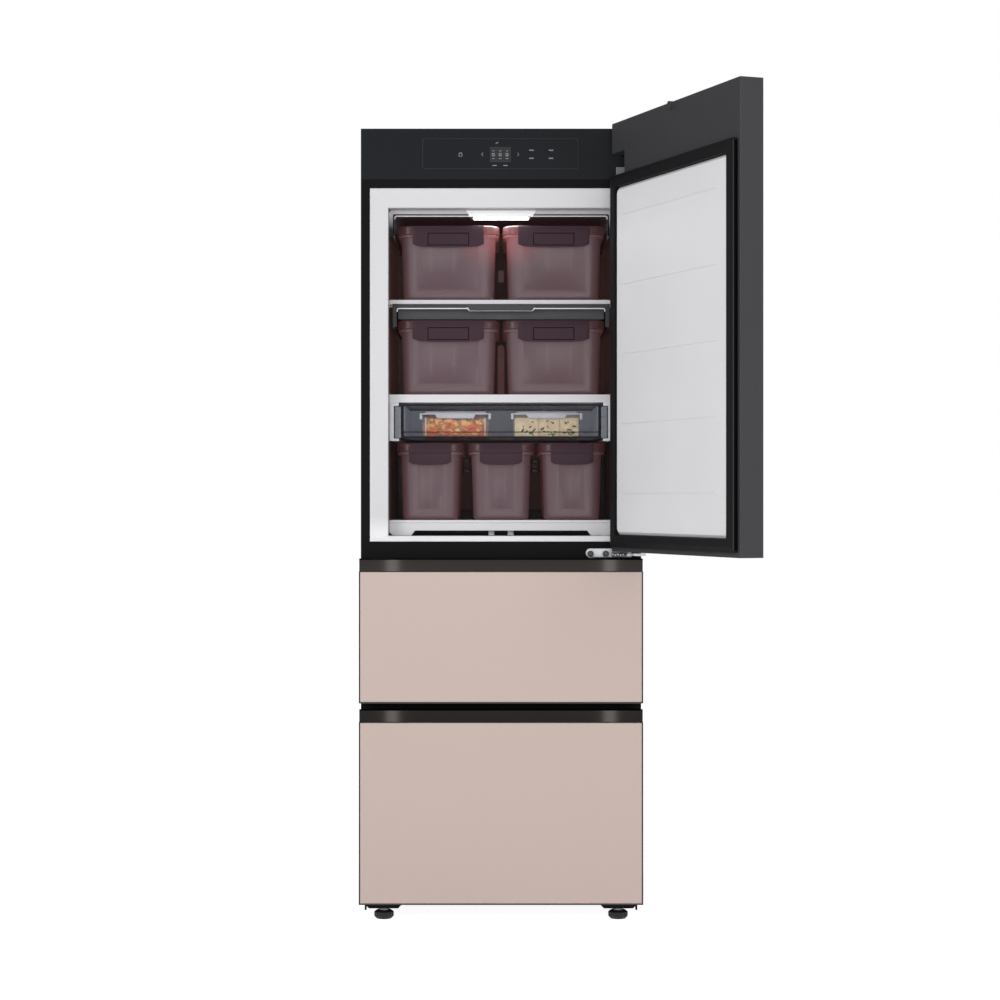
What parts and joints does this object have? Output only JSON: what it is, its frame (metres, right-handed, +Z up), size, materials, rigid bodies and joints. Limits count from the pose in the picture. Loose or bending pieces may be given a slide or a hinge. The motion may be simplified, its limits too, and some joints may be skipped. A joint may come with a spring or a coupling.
{
  "type": "kimchi refrigerator",
  "caption": "Tall free-standing kimchi refrigerator: open side-hinged upper door, shelves of lidded and latched containers, a clear tray, and drawers below with grooved grip strips.",
  "frame": {"origin": "middle of the base of the whole thing with its door open as in the picture, on the floor", "axes": "+X to the right seen from the front, +Y back, +Z up"},
  "size_m": [0.8796, 1.3002, 1.8661],
  "materials": {
    "case": "satin",
    "fascia": "satin",
    "liner": "satin",
    "grey": "satin",
    "lamp": "gloss",
    "coil": "satin",
    "zinc": "satin",
    "machine": "satin",
    "rubber": "matte",
    "trim": "satin",
    "panel": "matte",
    "grip": "satin",
    "clear": "gloss",
    "tub": "satin",
    "lid": "satin"
  },
  "bodies": {
    "cabinet": {"cabinet_case": "case", "upper_liner": "liner", "drawer_liner": "liner", "header_cover": "fascia", "ceiling_tunnel": "grey", "lamp_lens": "lamp", "upper_shelf": "liner", "middle_shelf": "liner", "floor_deck": "liner", "rear_duct": "grey", "evaporator": "coil", "machine_cover": "grey", "upper_hinge": "zinc", "lower_hinge": "zinc", "compressor": "machine"},
    "door": {"door_frame": "trim", "door_panel": "panel", "door_liner": "liner", "door_gasket": "rubber"},
    "upper_drawer": {"upper_drawer_frame": "trim", "upper_drawer_panel": "panel", "upper_drawer_handle": "grip", "upper_drawer_gasket": "rubber", "upper_drawer_bin": "liner"},
    "lower_drawer": {"lower_drawer_frame": "trim", "lower_drawer_panel": "panel", "lower_drawer_handle": "grip", "lower_drawer_gasket": "rubber", "lower_drawer_bin": "liner"},
    "snack_tray": {"snack_tray": "clear", "side_dish_box_left": "clear", "side_dish_lid_left": "clear", "side_dish_box_right": "clear", "side_dish_lid_right": "clear"},
    "container_upper_left": {"tub_upper_left": "tub", "lid_upper_left": "lid"},
    "container_upper_right": {"tub_upper_right": "tub", "lid_upper_right": "lid"},
    "container_middle_left": {"tub_middle_left": "tub", "lid_middle_left": "lid"},
    "container_middle_right": {"tub_middle_right": "tub", "lid_middle_right": "lid"},
    "container_lower_left": {"tub_lower_left": "tub", "lid_lower_left": "lid"},
    "container_lower_centre": {"tub_lower_centre": "tub", "lid_lower_centre": "lid"},
    "container_lower_right": {"tub_lower_right": "tub", "lid_lower_right": "lid"},
    "latch_upper_left": {"latch_upper_left": "lid"},
    "latch_upper_right": {"latch_upper_right": "lid"},
    "latch_middle_left": {"latch_middle_left": "lid"},
    "latch_middle_right": {"latch_middle_right": "lid"},
    "latch_lower_left": {"latch_lower_left": "lid"},
    "latch_lower_centre": {"latch_lower_centre": "lid"},
    "latch_lower_right": {"latch_lower_right": "lid"},
    "cooling_fan": {"cooling_fan": "grey"},
    "machine_fan": {"machine_fan": "grey"},
    "foot_left": {"front_foot_left": "rubber"},
    "foot_right": {"front_foot_right": "rubber"},
    "rollers": {"rear_rollers": "rubber"}
  },
  "joints": [
    {"name": "door_hinge", "type": "hinge", "parent": "cabinet", "child": "door", "pos_m": [0.19216, -0.04989, 1.3], "axis": [0, 0, 1], "range_deg": [-111.1, 5]},
    {"name": "upper_drawer_slide", "type": "slide", "parent": "cabinet", "child": "upper_drawer", "axis": [0, -1, 0], "range_m": [0, 0.43]},
    {"name": "lower_drawer_slide", "type": "slide", "parent": "cabinet", "child": "lower_drawer", "axis": [0, -1, 0], "range_m": [0, 0.43]},
    {"name": "snack_tray_slide", "type": "slide", "parent": "cabinet", "child": "snack_tray", "axis": [0, -1, 0], "range_m": [0, 0.28]},
    {"name": "container_upper_left_slide", "type": "slide", "parent": "cabinet", "child": "container_upper_left", "axis": [0, -1, 0], "range_m": [0, 0.36]},
    {"name": "container_upper_right_slide", "type": "slide", "parent": "cabinet", "child": "container_upper_right", "axis": [0, -1, 0], "range_m": [0, 0.36]},
    {"name": "container_middle_left_slide", "type": "slide", "parent": "cabinet", "child": "container_middle_left", "axis": [0, -1, 0], "range_m": [0, 0.36]},
    {"name": "container_middle_right_slide", "type": "slide", "parent": "cabinet", "child": "container_middle_right", "axis": [0, -1, 0], "range_m": [0, 0.36]},
    {"name": "container_lower_left_slide", "type": "slide", "parent": "cabinet", "child": "container_lower_left", "axis": [0, -1, 0], "range_m": [0, 0.36]},
    {"name": "container_lower_centre_slide", "type": "slide", "parent": "cabinet", "child": "container_lower_centre", "axis": [0, -1, 0], "range_m": [0, 0.36]},
    {"name": "container_lower_right_slide", "type": "slide", "parent": "cabinet", "child": "container_lower_right", "axis": [0, -1, 0], "range_m": [0, 0.36]},
    {"name": "latch_upper_left_hinge", "type": "hinge", "parent": "container_upper_left", "child": "latch_upper_left", "pos_m": [-0.23384, 0.05831, 1.6351], "axis": [-1, 0, 0], "range_deg": [0, 90]},
    {"name": "latch_upper_right_hinge", "type": "hinge", "parent": "container_upper_right", "child": "latch_upper_right", "pos_m": [0.01816, 0.05831, 1.6351], "axis": [-1, 0, 0], "range_deg": [0, 90]},
    {"name": "latch_middle_left_hinge", "type": "hinge", "parent": "container_middle_left", "child": "latch_middle_left", "pos_m": [-0.23384, 0.05831, 1.4092], "axis": [-1, 0, 0], "range_deg": [0, 90]},
    {"name": "latch_middle_right_hinge", "type": "hinge", "parent": "container_middle_right", "child": "latch_middle_right", "pos_m": [0.01816, 0.05831, 1.4092], "axis": [-1, 0, 0], "range_deg": [0, 90]},
    {"name": "latch_lower_left_hinge", "type": "hinge", "parent": "container_lower_left", "child": "latch_lower_left", "pos_m": [-0.27754, 0.05831, 1.1153], "axis": [-1, 0, 0], "range_deg": [0, 90]},
    {"name": "latch_lower_centre_hinge", "type": "hinge", "parent": "container_lower_centre", "child": "latch_lower_centre", "pos_m": [-0.10784, 0.05831, 1.1153], "axis": [-1, 0, 0], "range_deg": [0, 90]},
    {"name": "latch_lower_right_hinge", "type": "hinge", "parent": "container_lower_right", "child": "latch_lower_right", "pos_m": [0.06186, 0.05831, 1.1153], "axis": [-1, 0, 0], "range_deg": [0, 90]},
    {"name": "cooling_fan_spin", "type": "hinge", "parent": "cabinet", "child": "cooling_fan", "pos_m": [-0.10784, 0.52241, 1.5396], "axis": [0, 1, 0], "continuous": true},
    {"name": "machine_fan_spin", "type": "hinge", "parent": "cabinet", "child": "machine_fan", "pos_m": [-0.01284, 0.56111, 0.139], "axis": [1, 0, 0], "continuous": true},
    {"name": "foot_left_screw", "type": "hinge", "parent": "cabinet", "child": "foot_left", "pos_m": [-0.38284, -0.02989, 0.01], "axis": [0, 0, 1], "continuous": true},
    {"name": "foot_right_screw", "type": "hinge", "parent": "cabinet", "child": "foot_right", "pos_m": [0.16716, -0.02989, 0.01], "axis": [0, 0, 1], "continuous": true},
    {"name": "rollers_roll", "type": "hinge", "parent": "cabinet", "child": "rollers", "pos_m": [-0.10784, 0.59011, 0.018], "axis": [1, 0, 0], "continuous": true}
  ]
}
